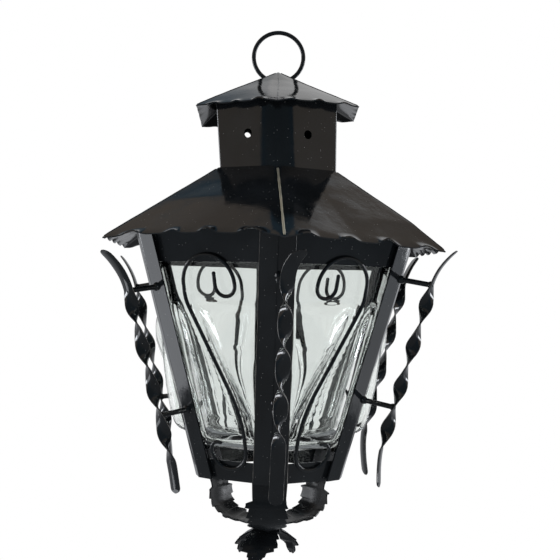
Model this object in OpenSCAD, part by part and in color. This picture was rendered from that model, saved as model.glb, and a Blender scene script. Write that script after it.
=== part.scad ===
// Six-sided hanging lantern in black sheet iron, with a blown glass jar bulging out of its cage.
// Millimetres, +Z up. The origin is where a hook carries the ring. One corner faces the front, -Y.

/* [Hanging ring] */
// Outside diameter of the ring
ring_d = 42.2; // [38:0.1:44]
// Thickness of the ring's rod
ring_wire_d = 3.3; // [2.8:0.1:3.6]
// Diameter of the two holes in the cap that the ring swings in
ring_hole_d = 7.4; // [7:0.1:8]

/* [Sheet iron] */
// Thickness of the cap, chimney and roof
sheet = 1; // [0.8:0.1:1.2]
// Thickness of the posts, rails, ribbons and leaves
strip = 1.2; // [1:0.1:1.4]

/* [Cap and chimney] */
// Depth of the cap's peak below the hook point
peak_drop = 29.3; // [28:0.1:30]
// Rise of the cap from eave to peak
cap_rise = 33.3; // [30:0.1:36]
// Radius of the cap at its corners
cap_r = 71.6; // [66:0.1:76]
// Radius of the chimney's corners at its top
chimney_top_r = 53.3; // [52:0.1:54]
// Radius of the chimney's corners where it meets the roof
chimney_foot_r = 51.1; // [50:0.1:52]
// Depth of the meeting of chimney and roof below the hook point
roof_top_drop = 108.6; // [107:0.1:110]
// Diameter of the air hole in each face of the chimney
vent_d = 6.8; // [5:0.1:8]

/* [Roof] */
// Radius of the roof at the eave's corners
roof_r = 143; // [140:0.5:146]
// Fall of the roof from the chimney to the eave
roof_fall = 58; // [55:0.5:60]
// Height of a ripple in the eaves, from mid to crest
ripple = 1.3; // [0.6:0.1:1.8]
// Ripples on each side of the roof
roof_ripples = 4; // [2:1:5]
// Ripples on each side of the cap
cap_ripples = 2; // [2:1:3]

/* [Cage] */
// Radius of the cage's corners level with the eave
cage_top_r = 114.3; // [112:0.1:116]
// Radius of the cage's corners at the bottom
cage_foot_r = 61.1; // [59:0.1:63]
// Depth of the cage's foot below the hook point
cage_foot_drop = 342.9; // [341:0.1:345]
// Width of each of the two flanges of a post
flange = 13.2; // [12:0.1:14]
// Angle by which each flange of a post falls back from its corner
flange_back = 18; // [16:1:22]
// Depth of the top rail's lower edge below the eave
top_rail_show = 15.7; // [14:0.1:18]
// Height of the bottom rail
foot_rail_h = 15.2; // [13:0.1:17]

/* [Twisted ribbons] */
// Width of a ribbon
ribbon_w = 10.2; // [9:0.1:11]
// Length of one half turn of the twist
half_turn = 31.5; // [30.5:0.1:32.5]
// Distance from a post's corner to its ribbon
ribbon_gap = 25; // [23:0.5:27]
// Thickness of the studs that carry a ribbon
stud_d = 3.9; // [3.4:0.1:4.4]

/* [Scrolls] */
// Thickness of the scroll wire
scroll_d = 2.8; // [2.4:0.1:3]
// Radius of the arch at the top of a scroll
arch_r = 21.3; // [20.5:0.1:21.6]
// Radius of the curl at the foot of a scroll
curl_r = 14.5; // [13.5:0.1:15]

/* [Glass] */
// Wall of the blown glass
glass_wall = 3; // [2.5:0.1:3.5]
// How far the glass swells out of the cage
bulge = 14; // [11:0.5:15]
// Height of the glass jar
glass_h = 142; // [140:0.5:144]

/* [Foot leaves] */
// Width of the leaf strips
leaf_w = 25; // [23:0.5:26]
// Depth of the crease along a leaf
leaf_crease = 3; // [2:0.5:4]

/* [Lamp holder] */
// Inside radius of the holder's screw shell
shell_r = 13.4; // [13.3:0.05:13.5]
// Depth of the screw shell
shell_h = 24; // [22:0.5:26]
// Outside diameter of the holder
holder_d = 38; // [36:0.5:40]

/* [Hidden] */
SIDES = 6;
FACES = ["front_right", "right", "back_right", "back_left", "left", "front_left"];
CORNERS = ["front", "front_right", "back_right", "back", "back_left", "front_left"];
LEAVES = ["front", "back_right", "back_left"];

$fn = 64;
iron = "#17181a";
FLAT = cos(30);      // apothem of a hexagon of radius 1
MITRE = tan(30);     // half the side of a hexagon of apothem 1

// Hanging ring: the hook point is the top of the ring's inside
ring_r = (ring_d - ring_wire_d) / 2;
ring_z = -(ring_r - ring_wire_d / 2);

// Cap: one slope from peak to eave
peak_z = -peak_drop;
cap_eave_z = peak_z - cap_rise;
cap_slope = cap_rise / (cap_r * FLAT);
cap_thick = sheet * sqrt(1 + cap_slope * cap_slope);
peak_gap = 0.6;      // the panels stop this far from the axis, at the soldered peak
ripple_depth = 12;   // how far up the sheet a ripple runs

// The ring crosses the cap's left and right panels here; it also gives the swing's axis
cross_b = 2 * cap_slope * (peak_z - ring_z) / (1 + cap_slope * cap_slope);
cross_c = ((peak_z - ring_z) * (peak_z - ring_z) - ring_r * ring_r) / (1 + cap_slope * cap_slope);
cross_x = (cross_b + sqrt(cross_b * cross_b - 4 * cross_c)) / 2;
cross_z = peak_z - cap_slope * cross_x - cap_thick / 2;

// Chimney
chimney_top_z = peak_z - cap_slope * chimney_top_r * FLAT - cap_thick;
chimney_foot_z = -roof_top_drop - 3.4;
vent_z = -83.8;
function chimney_r(z) = chimney_foot_r
    + (chimney_top_r - chimney_foot_r) * (z + roof_top_drop) / (chimney_top_z + roof_top_drop);

// Roof
roof_top_z = -roof_top_drop;
eave_z = roof_top_z - roof_fall;
roof_slope = roof_fall / ((roof_r - chimney_foot_r) * FLAT);
roof_thick = sheet * sqrt(1 + roof_slope * roof_slope);
function roof_under(a) = roof_top_z - roof_thick - roof_slope * (a - chimney_foot_r * FLAT);

// Cage: corner radius, and apothem of its outside, at any height
foot_z = -cage_foot_drop;
cage_lean = (cage_top_r - cage_foot_r) / (eave_z - foot_z);
function cage_r(z) = cage_foot_r + cage_lean * (z - foot_z);
function cage_a(z) = FLAT * cage_r(z);
face_lean = FLAT * cage_lean;
plate = strip * sqrt(1 + face_lean * face_lean);   // a strip's thickness, measured level
// Height where a plate set back from the cage's outside meets the roof
function under_roof(back) = (roof_under(0) - roof_slope * (cage_a(0) - back))
    / (1 + roof_slope * face_lean);
post_top_z = under_roof(-flange * sin(30 - flange_back) - 0.05);
rail_top_z = under_roof(plate);
rail_low_z = eave_z - top_rail_show;
foot_rail_z = foot_z + foot_rail_h;
post_angle = atan(cage_lean);

// Ribbons and studs, measured up the post from its foot
stud_low = 67.6;
stud_high = stud_low + 3 * half_turn;
// Each ribbon was fitted by hand: how far up it sits, and how much wider or narrower its gap is
RIBBON_RISE = [0, 0, -0.5, -4, -5.7, -10.9];
RIBBON_OUT = [0, -0.5, -3.5, 0, 0.5, -4.2];
RIBBON_SIDE = [[4.7, 6.4], [0, 0], [0, 0], [0, 0], [0, 0], [5.3, 5.3]];
RIBBON_HAND = [1, -1, 1, 1, 1, 1];
RIBBON_TIP = [185.4, 191.5, 190.5, 192, 192, 195.6];
RIBBON_TAIL = [-1, 7.5, 2, 4, 5, 8];
TIP_BOW = [8, 10.5, 7.5, 8, 8.5, 12];
TAIL_BOW = [3, 6.9, 12.7, 6, 6, 2.5];
TIP_SIDE = [8.5, 0, 0, 0, 0, 0];
STUD_SIDE = [1.2, 0, 0, 0, 0, 5.3];
stud_fall = 7.9;     // how far a stud is turned up from square to its post
stud_hold = 2.4;     // a ribbon stays flat this far above and below the middle of a stud
stud_seat = 0.02;    // a stud stops this far off its post, so that no two faces coincide
twist_run = stud_high - stud_low - 2 * stud_hold;

// Scroll: centre of the arch, height of the wire's layer
arch_x = -2.5;
arch_z = -197.7;
hook_r = 8.1;
curl_end_r = 6;
// Where a scroll's stem runs, from its foot up: [height, distance to the side], as on an unmirrored face
STEM = [[-400, 13.1], [-313.2, 13.1], [-295.5, 11.4], [-275.4, 5.2], [-214.8, -21.4], [-203.5, -23.8],
        [0, -23.8]];

// Glass
glass_top_z = rail_low_z + 5;
glass_foot_z = glass_top_z - glass_h;
glass_back = 2 * plate + 0.4;   // set-back of the glass behind the posts' outside, clear of the rails
under_wire = plate + 0.4;       // the same where a scroll wire lies over the glass
wire_gap = 3;                   // half the width of the valley that a scroll wire leaves in the glass
corner_cut = 5;                 // how far the glass rounds off its corners
// Share of the full swell at each height, and how the foot rounds in
SWELL = [[-320, 0], [-312.3, 0], [-311, 0.5], [-308.5, 0.86], [-304, 1], [-262, 1], [-245, 0.9],
         [-232, 0.76], [-222, 0.52], [-214, 0.2], [-209, 0], [0, 0]];
FOOT_ROUND = [[-320, 0.86], [-317.5, 0.94], [-314.5, 0.98], [-311, 1], [0, 1]];
GLASS_ROWS = [-319.3, -317.5, -314.5, -312.3, -311, -308.5, -303, -290, -275, -260, -245, -232, -222,
              -214, -209, -193];

// Lamp holder, hung under the chimney on a strap
strap_t = 2;
strap_w = 14;
strap_z = chimney_foot_z - strap_t;
nipple_d = 9.8;
nut_h = 4;
nipple_len = 22;
holder_top_z = strap_z - nut_h - 6;
holder_h = 42;
holder_foot_z = holder_top_z - holder_h;
shell_t = 0.6;

// ---- helpers ----

// Turns a thing made at the front, facing -Y, to a corner or a face of the hexagon
module at_corner(i) rotate([0, 0, 60 * i]) children();
module at_face(i) rotate([0, 0, 60 * i + 30]) children();

// A closed solid through a list of sections, each a closed loop of the same number of points. The second half
// of a loop is split the other way, so that the two sides of a thin twisted sheet stay parallel
module loft(sections) {
    n = len(sections[0]);
    rows = len(sections);
    function split(a, b, c, d, k) = k < n / 2 ? [[a, c, b], [b, c, d]] : [[a, c, d], [a, d, b]];
    polyhedron(
        points = [for (s = sections) each s],
        faces = concat(
            [[for (k = [0:n - 1]) k]],
            [for (j = [0:rows - 2], k = [0:n - 1])
                each split(j * n + k, j * n + (k + 1) % n, (j + 1) * n + k, (j + 1) * n + (k + 1) % n, k)],
            [[for (k = [n - 1:-1:0]) (rows - 1) * n + k]]));
}

// Value at x of a line through hand-picked [x, y] points, x rising
function along(pts, x, k = 0) = k >= len(pts) - 2 || x < pts[k + 1][0]
    ? pts[k][1] + (pts[k + 1][1] - pts[k][1]) * (x - pts[k][0]) / (pts[k + 1][0] - pts[k][0])
    : along(pts, x, k + 1);

// One face of a hexagonal roof, mitred at both ridges, its lower edge rippled
module roof_face(top_a, top_z, low_a, low_z, thick, ripples) {
    slope = (top_z - low_z) / (low_a - top_a);
    start_a = low_a - ripple_depth;
    steps = ripples * 6;
    function edge(a, u, wave) = [u * a * MITRE, -a, top_z - slope * (a - top_a) + wave];
    loft([for (k = [0:steps])
        let (u = 2 * k / steps - 1, wave = -ripple * cos(180 * ripples * u),
             outer = [edge(top_a, u, 0), edge(start_a, u, 0), edge(low_a, u, wave)])
        concat(outer, [for (p = [2, 1, 0]) outer[p] - [0, 0, thick]])]);
}

// A flat strip between two posts, mitred at both ends
module rail(z0, z1, back) {
    function end(side) = [for (p = [[z0, 0], [z0, plate], [z1, plate], [z1, 0]])
        let (a = cage_a(p[0]) - back - p[1]) [side * a * MITRE, -a, p[0]]];
    loft([end(-1), end(1)]);
}

// Puts children in the frame of a post: +Z up its corner, -Y straight out from it
module up_post(i) at_corner(i)
    translate([0, -cage_foot_r, foot_z]) rotate([post_angle, 0, 0]) children();

// ---- sub-parts ----

module hanging_ring() color("#1d1e20")
    translate([0, 0, ring_z]) rotate([90, 0, 0])
        rotate_extrude() translate([ring_r, 0]) circle(d = ring_wire_d);

module cap_panel(i) color(iron) difference() {
    at_face(i) roof_face(peak_gap, peak_z - cap_slope * peak_gap, cap_r * FLAT, cap_eave_z,
                         cap_thick, cap_ripples);
    for (side = [-1, 1])
        translate([side * cross_x, 0, cross_z]) rotate([0, side * atan(cap_slope), 0])
            cylinder(h = 6, d = ring_hole_d, center = true);
}

function hexagon(z, r) = [for (k = [0:SIDES - 1]) [r * cos(60 * k + 30), r * sin(60 * k + 30), z]];
module chimney() color(iron) difference() {
    loft([for (z = [chimney_foot_z, chimney_top_z]) hexagon(z, chimney_r(z))]);
    loft([for (z = [chimney_foot_z - 1, chimney_top_z + 1]) hexagon(z, chimney_r(z) - sheet / FLAT)]);
    for (k = [0:2]) at_face(k) translate([0, 0, vent_z])
        rotate([90, 0, 0]) cylinder(h = 3 * chimney_top_r, d = vent_d, center = true);
}

module roof_panel(i) color(iron) at_face(i)
    roof_face(chimney_foot_r * FLAT + 0.02, roof_top_z, roof_r * FLAT, eave_z, roof_thick, roof_ripples);

// Two angle tabs soldered under the roof; each goes down inside a top rail and takes a screw
tab_w = 16;
tab_low_z = rail_top_z - 16;
screw_z = rail_top_z - 9;
screw_d = 3.5;
tab_top_z = under_roof(2 * plate);
module roof_tabs() color(iron) for (i = [1, 4]) difference() {
    at_face(i) loft([for (x = [-tab_w / 2, tab_w / 2])
        [for (p = [[tab_low_z, 2], [tab_low_z, 3], [tab_top_z, 3], [tab_top_z, 2]])
            [x, -cage_a(p[0]) + p[1] * plate, p[0]]]]);
    roof_screw_axis(i) cylinder(h = 20, d = screw_d + 0.1, center = true);
}
// Square to a face of the cage at the height of the roof's screws, +Z out
module roof_screw_axis(i) at_face(i)
    translate([0, -cage_a(screw_z) + plate, screw_z]) rotate([90 + atan(face_lean), 0, 0]) children();
module roof_screws() color("#2a2b2d") for (i = [1, 4]) roof_screw_axis(i) {
    translate([0, 0, -7]) cylinder(h = 7, d = screw_d);
    intersection() {
        translate([0, 0, -2.4]) sphere(d = 9);
        cylinder(h = 3, d = 8);
    }
}

// Corner strip: folded along its middle and pushed over along Y to lean with the cage
module post(i) color(iron) at_corner(i) {
    c = cos(flange_back);
    b = sin(flange_back);
    right = [flange * c, flange * b];
    under = [-plate * b, plate * c];
    multmatrix([[1, 0, 0, 0], [0, 1, -cage_lean, -cage_foot_r + cage_lean * foot_z], [0, 0, 1, 0], [0, 0, 0, 1]])
        translate([0, 0, foot_z]) linear_extrude(post_top_z - foot_z)
            polygon([[0, 0], right, right + under, [0, plate / FLAT], [-right[0] - under[0], right[1] + under[1]],
                     [-right[0], right[1]]]);
}

module top_rail(i) color(iron) difference() {
    at_face(i) rail(rail_low_z, rail_top_z, plate);
    if (i == 1 || i == 4) roof_screw_axis(i) cylinder(h = 20, d = screw_d + 0.1, center = true);
}

module bottom_rail(i) color(iron) at_face(i) rail(foot_z, foot_rail_z, plate);

// Twisted ribbon: flat against both studs, four half turns below the upper one, its tip curled out
function ribbon_turn(i, s) = RIBBON_HAND[i] * 180
    * (max(0, min(3, 3 * (stud_high - stud_hold - s) / twist_run))
       + max(0, min(1, (stud_low - stud_hold - s) / (half_turn - stud_hold))));
function ribbon_bow(i, s) = s > stud_high
    ? TIP_BOW[i] * pow((s - stud_high) / (RIBBON_TIP[i] - stud_high), 2)
    : TAIL_BOW[i] * pow(max(0, (stud_low - half_turn - s) / (stud_low - half_turn - RIBBON_TAIL[i])), 1.5);
function ribbon_side(i, s) = RIBBON_SIDE[i][0]
    + (RIBBON_SIDE[i][1] - RIBBON_SIDE[i][0]) * (s - stud_low) / (stud_high - stud_low)
    + TIP_SIDE[i] * pow(max(0, s - stud_high) / (RIBBON_TIP[i] - stud_high), 2);
function ribbon_half(i, s) = let (from_end = min(RIBBON_TIP[i] - s, s - RIBBON_TAIL[i]))
    from_end > 4 ? ribbon_w / 2 : (ribbon_w / 2) * sqrt(max(0.04, 1 - pow(1 - from_end / 4, 2)));
module ribbon(i) color(iron) {
    from_tip = RIBBON_TIP[i] - stud_high;
    to_tail = stud_low - half_turn - RIBBON_TAIL[i];
    stations = concat([for (d = [0, 1.5, 4, 8, 14, 0.75 * from_tip]) RIBBON_TIP[i] - d],
                      [stud_high], [for (k = [0:24]) stud_high - stud_hold - k * twist_run / 24],
                      [for (k = [0:8]) stud_low - stud_hold - k * (half_turn - stud_hold) / 8],
                      [for (d = [0.7 * to_tail, 0.45 * to_tail, 9, 4, 1.5, 0]) RIBBON_TAIL[i] + d]);
    up_post(i) translate([0, -ribbon_gap - RIBBON_OUT[i], RIBBON_RISE[i]]) loft([for (s = stations)
        let (a = ribbon_turn(i, s), w = ribbon_half(i, s), t = strip / 2)
        [for (p = [[w, t], [w, -t], [-w, -t], [-w, t]])
            [p[0] * cos(a) - p[1] * sin(a) + ribbon_side(i, s), p[0] * sin(a) + p[1] * cos(a) - ribbon_bow(i, s), s]]]);
}

// Two studs to a post, falling a little on the way out, with a weld bead where each one starts
module ribbon_studs() color(iron) for (i = [0:SIDES - 1], s = [stud_low, stud_high]) {
    reach = ribbon_gap + RIBBON_OUT[i] - strip / 2;
    difference() {
        up_post(i) translate([STUD_SIDE[i], 0, s + RIBBON_RISE[i]]) {
            translate([0, -reach, 0]) rotate([-90 - stud_fall, 0, 0])
                translate([0, 0, -2]) cylinder(h = reach + 6, d = stud_d);
            translate([0, STUD_SIDE[i] * tan(flange_back), -reach * tan(stud_fall)]) sphere(d = stud_d + 2);
        }
        up_post(i) translate([-15, -reach - 20, s + RIBBON_RISE[i] - 15]) cube([30, 20, 30]);
        at_corner(i) loft([for (z = [foot_z, post_top_z]) let (r = cage_r(z) + stud_seat, w = 20)
            [[-w, -r + w * tan(flange_back), z], [0, -r, z], [w, -r + w * tan(flange_back), z]]]);
    }
}

// A wire bent in the XZ plane. Each step is [bend radius, degrees] or [0, length], and turn > 0 bends to +X.
// The wire sets off up +Z. A bead, just thicker than the wire, closes each joint and each end.
joint_gap = 0.1;
bead = 0.1;
module bent_wire(steps, d, k = 0) {
    sphere(d = d + bead);
    if (k < len(steps)) {
        r = steps[k][0];
        turn = steps[k][1];
        if (r == 0) {
            translate([0, 0, joint_gap]) cylinder(h = turn - 2 * joint_gap, d = d);
            translate([0, 0, turn]) bent_wire(steps, d, k + 1);
        } else {
            side = sign(turn);
            trim = joint_gap / r * 180 / PI;
            translate([side * r, 0, 0]) {
                rotate([90, 0, 0])
                    rotate_extrude(start = (side > 0 ? 180 - turn : 0) + trim, angle = abs(turn) - 2 * trim)
                        translate([r, 0]) circle(d = d);
                rotate([0, turn, 0]) translate([-side * r, 0, 0]) bent_wire(steps, d, k + 1);
            }
        }
    }
}
// From the end of the inner hook, down round it, over the arch, down the long stem and round the foot curl
SCROLL = [[0, 8.6], [hook_r, 180], [0, 1], [arch_r, 180], [0, 6], [30, 23], [0, 68], [100, -23],
          [0, 6.5], [curl_r, -180], [curl_end_r, -110]];
module scroll(i) color(iron) {
    hand = i % 2 == 0 ? -1 : 1;
    back = plate - scroll_d / 2;
    at_face(i)
        translate([0, -cage_a(arch_z) + back, arch_z])
        rotate([atan(face_lean), 0, 0])
        mirror([hand < 0 ? 1 : 0, 0, 0])
        translate([arch_x + arch_r - 2 * hook_r, 0, 7.6])
        rotate([180, 0, 0]) bent_wire(SCROLL, scroll_d);
}

// Blown glass: one jar, held under the posts' flanges, swelling out between them and dented by the wires
function zone(from, to, swell) = let (full = min(bulge + glass_back, 0.45 * (to - from)) * swell)
    [for (u = [0.14, 0.5, 0.86]) [from + (to - from) * u, full * pow(sin(180 * u), 0.5)]];
function glass_face(z, hand) = let (
    side = (cage_a(z) - glass_back) * MITRE - corner_cut,
    edge = cage_r(z) / 2 - flange - 1.4,
    wire = hand * along(STEM, z), swell = along(SWELL, z),
    left = wire - wire_gap, right = wire + wire_gap, rest = (glass_back - under_wire) * min(1, 5 * swell))
    concat([[-side, 0], [-edge, 0]], zone(-edge, left, swell), [[left, rest], [right, rest]],
           zone(right, edge, swell), [[edge, 0], [side, 0]]);
// One level loop of the jar; inset moves it in to make the inner wall
function glass_loop(z, level, inset) = let (
    a = cage_a(z) - glass_back - inset, round_in = along(FOOT_ROUND, z), narrow = a / (a + inset))
    [for (i = [0:SIDES - 1], c = glass_face(z, i % 2 == 0 ? -1 : 1))
        let (x = c[0] * narrow * round_in, y = -(a + c[1]) * round_in, turn = 60 * i + 30)
        [x * cos(turn) - y * sin(turn), x * sin(turn) + y * cos(turn), level]];
function inner_level(z) = z + glass_wall * (glass_top_z - z) / (glass_top_z - GLASS_ROWS[0]);
module glass() color("#cfd8d6", 0.4) loft(concat(
    [for (z = GLASS_ROWS) glass_loop(z, z, 0)],
    [glass_loop(glass_top_z, glass_top_z, 0), glass_loop(glass_top_z, glass_top_z, glass_wall)],
    [for (k = [len(GLASS_ROWS) - 1:-1:0]) glass_loop(GLASS_ROWS[k], inner_level(GLASS_ROWS[k]), glass_wall)]));

// Leaf strip: soldered inside the bottom rails at a corner, bowed in under the cage, its leaf turned out
function rail_seat(z, half) = (cage_a(z) - 2 * plate - half * sin(30)) / FLAT;
leaf_half = leaf_w / 2 + 1;
// Down the strip: [distance from the axis, height, half width]; the width steps out at the teeth
LEAF = [[rail_seat(-329, leaf_half), -329, leaf_half], [rail_seat(-340, leaf_half), -340, leaf_half],
        [47.8, -347.5, leaf_half - 0.5], [45.2, -354, leaf_half - 1], [44.8, -356.8, leaf_half - 1],
        [44.7, -358, 20], [44.4, -363, 18.8], [43.2, -369.5, 18], [40.5, -375.5, 17], [36, -380, 16],
        [35.2, -380.6, 18.5], [30, -383.2, 15.5], [24, -385, 14], [17, -386.2, 12.5], [10, -386.8, 11],
        [7.2, -387.6, 10], [6.4, -389.4, 10], [8.5, -391.6, 10.5], [13.5, -393.6, 12], [19, -396.6, 13.6],
        [22.4, -400.4, 13], [22.8, -401.2, 7.4], [24.4, -405, 6], [25.2, -408.6, 2.6]];
// How far each leaf's tip leans to the side
LEAF_SWAY = [-11, 2, -3];
leaf_end = len(LEAF) - 1;
leaf_fold = 16;      // the leaf turns out again after this entry
function leaf_heading(k) = let (a = LEAF[max(0, k - 1)], b = LEAF[min(leaf_end, k + 1)],
                                d = [b[0] - a[0], b[1] - a[1]]) d / norm(d);
module leaf_bracket(i) color(iron) at_corner(2 * i) loft([for (k = [leaf_end:-1:0])
    let (p = LEAF[k], h = leaf_heading(k), out = [-h[1], h[0]],
         crease = leaf_crease * min(1, 0.3 + abs(k - leaf_fold) / 6, (leaf_end + 1 - k) / 3),
         sway = LEAF_SWAY[i] * max(0, k - leaf_fold) / (leaf_end - leaf_fold))
    [for (q = [[-p[2], 0], [-p[2], -strip], [0, crease - strip], [p[2], -strip], [p[2], 0], [0, crease]])
        [q[0] + sway, -(p[0] + q[1] * out[0]), p[1] + q[1] * out[1]]]]);

module lamp_strap() color("#8d8f90") {
    a = (roof_under(0) - (strap_z + strap_t)) / roof_slope;
    difference() {
        translate([-a, -strap_w / 2, strap_z]) cube([2 * a, strap_w, strap_t]);
        translate([0, 0, strap_z - 1]) cylinder(h = strap_t + 2, d = nipple_d + 0.2);
    }
}
module lamp_nipple() color("#b9a05a") translate([0, 0, holder_top_z - 4]) difference() {
    cylinder(h = nipple_len, d = nipple_d);
    translate([0, 0, -1]) cylinder(h = nipple_len + 2, d = 6.6);
}
module lamp_nuts() color("#b9a05a") for (z = [strap_z + strap_t, strap_z - nut_h])
    translate([0, 0, z]) difference() {
        cylinder(h = nut_h, d = 17, $fn = 6);
        translate([0, 0, -1]) cylinder(h = nut_h + 2, d = nipple_d + 0.1);
    }
module lamp_holder() color("#e8e4da") translate([0, 0, holder_foot_z]) difference() {
    rotate_extrude() polygon([[0, 0], [holder_d / 2, 0], [holder_d / 2, 30], [holder_d / 2 - 6, 38],
                              [11, holder_h], [0, holder_h]]);
    translate([0, 0, -1]) cylinder(h = shell_h + 5, r = shell_r + shell_t + 0.05);
    translate([0, 0, holder_h - 4]) cylinder(h = 5, d = nipple_d + 0.1);
}
module lamp_screw_shell() color("#c8a85a") translate([0, 0, holder_foot_z + 2]) difference() {
    cylinder(h = shell_h, r = shell_r + shell_t);
    translate([0, 0, -1]) cylinder(h = shell_h + 2, r = shell_r);
}
module lamp_contact() color("#c8a85a") translate([0, 0, holder_foot_z + shell_h + 2]) cylinder(h = 2, r = 5);

hanging_ring();
chimney();
glass();
ribbon_studs();
roof_tabs();
roof_screws();
lamp_strap();
lamp_nipple();
lamp_nuts();
lamp_holder();
lamp_screw_shell();
lamp_contact();
for (i = [0:SIDES - 1]) {
    cap_panel(i);
    roof_panel(i);
    top_rail(i);
    bottom_rail(i);
    scroll(i);
    post(i);
    ribbon(i);
}
for (i = [0:2]) leaf_bracket(i);
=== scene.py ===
"""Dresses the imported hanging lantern: black paint, rippled sheet, twisted ribbons and blown glass."""

import math
import random

import bmesh
import bpy
from bpy.props import FloatProperty, FloatVectorProperty, IntProperty, PointerProperty
from mathutils import Matrix, Vector, noise


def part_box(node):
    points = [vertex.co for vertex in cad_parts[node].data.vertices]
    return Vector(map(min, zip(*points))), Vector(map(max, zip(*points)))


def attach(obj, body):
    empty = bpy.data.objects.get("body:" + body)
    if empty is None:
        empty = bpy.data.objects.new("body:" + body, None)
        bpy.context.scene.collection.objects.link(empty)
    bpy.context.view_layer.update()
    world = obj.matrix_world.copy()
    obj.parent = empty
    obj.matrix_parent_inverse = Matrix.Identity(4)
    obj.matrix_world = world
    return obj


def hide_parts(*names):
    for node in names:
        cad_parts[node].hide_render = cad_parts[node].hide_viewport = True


bl_info = {
    "name": "Hanging Lantern",
    "version": (1, 0, 0),
    "blender": (4, 5, 0),
    "location": "View3D > Sidebar > Lantern",
    "description": "Black sheet-iron lantern with twisted ribbons, scrolls and a blown jar",
    "category": "Add Mesh",
}

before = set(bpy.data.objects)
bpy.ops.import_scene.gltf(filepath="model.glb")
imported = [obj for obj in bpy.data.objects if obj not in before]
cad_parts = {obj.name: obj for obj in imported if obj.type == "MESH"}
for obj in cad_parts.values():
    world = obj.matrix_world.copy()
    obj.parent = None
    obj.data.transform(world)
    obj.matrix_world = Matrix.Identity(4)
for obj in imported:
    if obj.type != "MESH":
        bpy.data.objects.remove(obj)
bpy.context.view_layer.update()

MM = 0.001
SIDES = 6
FLAT = math.cos(math.radians(30))
MITRE = math.tan(math.radians(30))
FACES = ["front_right", "right", "back_right", "back_left", "left", "front_left"]
CORNERS = ["front", "front_right", "back_right", "back", "back_left", "front_left"]
LEAVES = ["front", "back_right", "back_left"]

# Levels and radii in millimetres, as the frame has them; 0 is the hook point
PEAK_Z = -29.3
CAP_EAVE_Z = -62.6
CAP_R = 71.6
CHIMNEY_R = 51.1
ROOF_TOP_Z = -108.6
EAVE_Z = -166.6
ROOF_R = 143.0
CAGE_TOP_R = 114.3
CAGE_FOOT_R = 61.1
FOOT_Z = -342.9
LEAN = (CAGE_TOP_R - CAGE_FOOT_R) / (EAVE_Z - FOOT_Z)
POST_LEAN = math.atan(LEAN)
# How far a post's flanges are turned back, and the radius of the line along an edge that shows worn bare
# iron and a painted highlight
FLANGE_BACK = math.radians(18)
EDGE_R = 0.26


# ---- sizes and colours ----


def length(name, description, default):
    return FloatProperty(name=name, description=description, default=default, unit="LENGTH", precision=4)


def rgb(name, description, default):
    return FloatVectorProperty(name=name, description=description, default=default, subtype="COLOR", size=3)


def fraction(name, description, default):
    return FloatProperty(name=name, description=description, default=default, subtype="FACTOR")


class LanternSheetSizes(bpy.types.PropertyGroup):
    thick: length("Sheet", "Thickness of cap, chimney and roof", 0.001)
    strip: length("Strip", "Thickness of posts, ribbons and leaves", 0.0012)
    ripple: length("Ripple", "Height that the roof's eaves curl up", 0.0038)
    flange: length("Flange", "Width of a post's flange", 0.0132)
    fold_r: length("Fold", "Outside radius of a post's fold", 0.0022)


class LanternRibbonSizes(bpy.types.PropertyGroup):
    width: length("Width", "Width of a ribbon", 0.0102)
    gap: length("Gap", "Distance from post to ribbon", 0.025)
    stud_low: length("Lower stud", "Height of the lower stud up its post", 0.0676)
    stud_high: length("Upper stud", "Height of the upper stud up its post", 0.1621)


class LanternGlassSizes(bpy.types.PropertyGroup):
    wall: length("Wall", "Wall of the jar", 0.003)
    bulge: length("Bulge", "Swell of the jar out of the cage", 0.014)
    tint: rgb("Tint", "Colour of the glass", (0.845, 0.872, 0.858))
    seeds: IntProperty(name="Seeds", description="Air bubbles in the wall", default=70)


class LanternPaint(bpy.types.PropertyGroup):
    black: rgb("Black", "Colour of the paint", (0.0062, 0.0074, 0.0088))
    rough: fraction("Roughness", "Mean roughness of the paint", 0.07)


class LanternStage(bpy.types.PropertyGroup):
    backdrop: rgb("Backdrop", "Colour of floor and background", (1, 1, 1))
    fill: fraction("Fill", "Strength of the room's light", 0.6)


# ---- helpers ----


def cage_r(z):
    """Radius of the cage's corners at a height."""
    return CAGE_FOOT_R + LEAN * (z - FOOT_Z)


def cage_a(z):
    """Distance from the axis to the outside of a cage face at a height."""
    return FLAT * cage_r(z)


def line(points, x):
    """Value at x of a line through [x, y] points."""
    for (x0, y0), (x1, y1) in zip(points, points[1:]):
        if x < x1:
            break
    return y0 + (y1 - y0) * min(1.0, max(0.0, (x - x0) / (x1 - x0)))


def smooth_line(points, x):
    """As line, but eased between the points by a Catmull-Rom curve."""
    k = 0
    while k < len(points) - 2 and x >= points[k + 1][0]:
        k += 1
    (x0, y0), (x1, y1) = points[k], points[k + 1]
    t = min(1.0, max(0.0, (x - x0) / (x1 - x0)))
    before = points[max(0, k - 1)]
    after = points[min(len(points) - 1, k + 2)]
    m0 = (y1 - before[1]) / (x1 - before[0]) * (x1 - x0)
    m1 = (after[1] - y0) / (after[0] - x0) * (x1 - x0)
    return (
        (2 * t**3 - 3 * t * t + 1) * y0
        + (t**3 - 2 * t * t + t) * m0
        + (3 * t * t - 2 * t**3) * y1
        + (t**3 - t * t) * m1
    )


def wobble(p, size, seed=0.0):
    """Smooth hand-made unevenness at a point, about -1 to 1, with features about size mm long."""
    return noise.noise(Vector(p) / size + Vector((seed, seed * 0.7, -seed)))


def turned(p, degrees):
    """A point turned about the lantern's axis."""
    a = math.radians(degrees)
    return Vector((p[0] * math.cos(a) - p[1] * math.sin(a), p[0] * math.sin(a) + p[1] * math.cos(a), p[2]))


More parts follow.
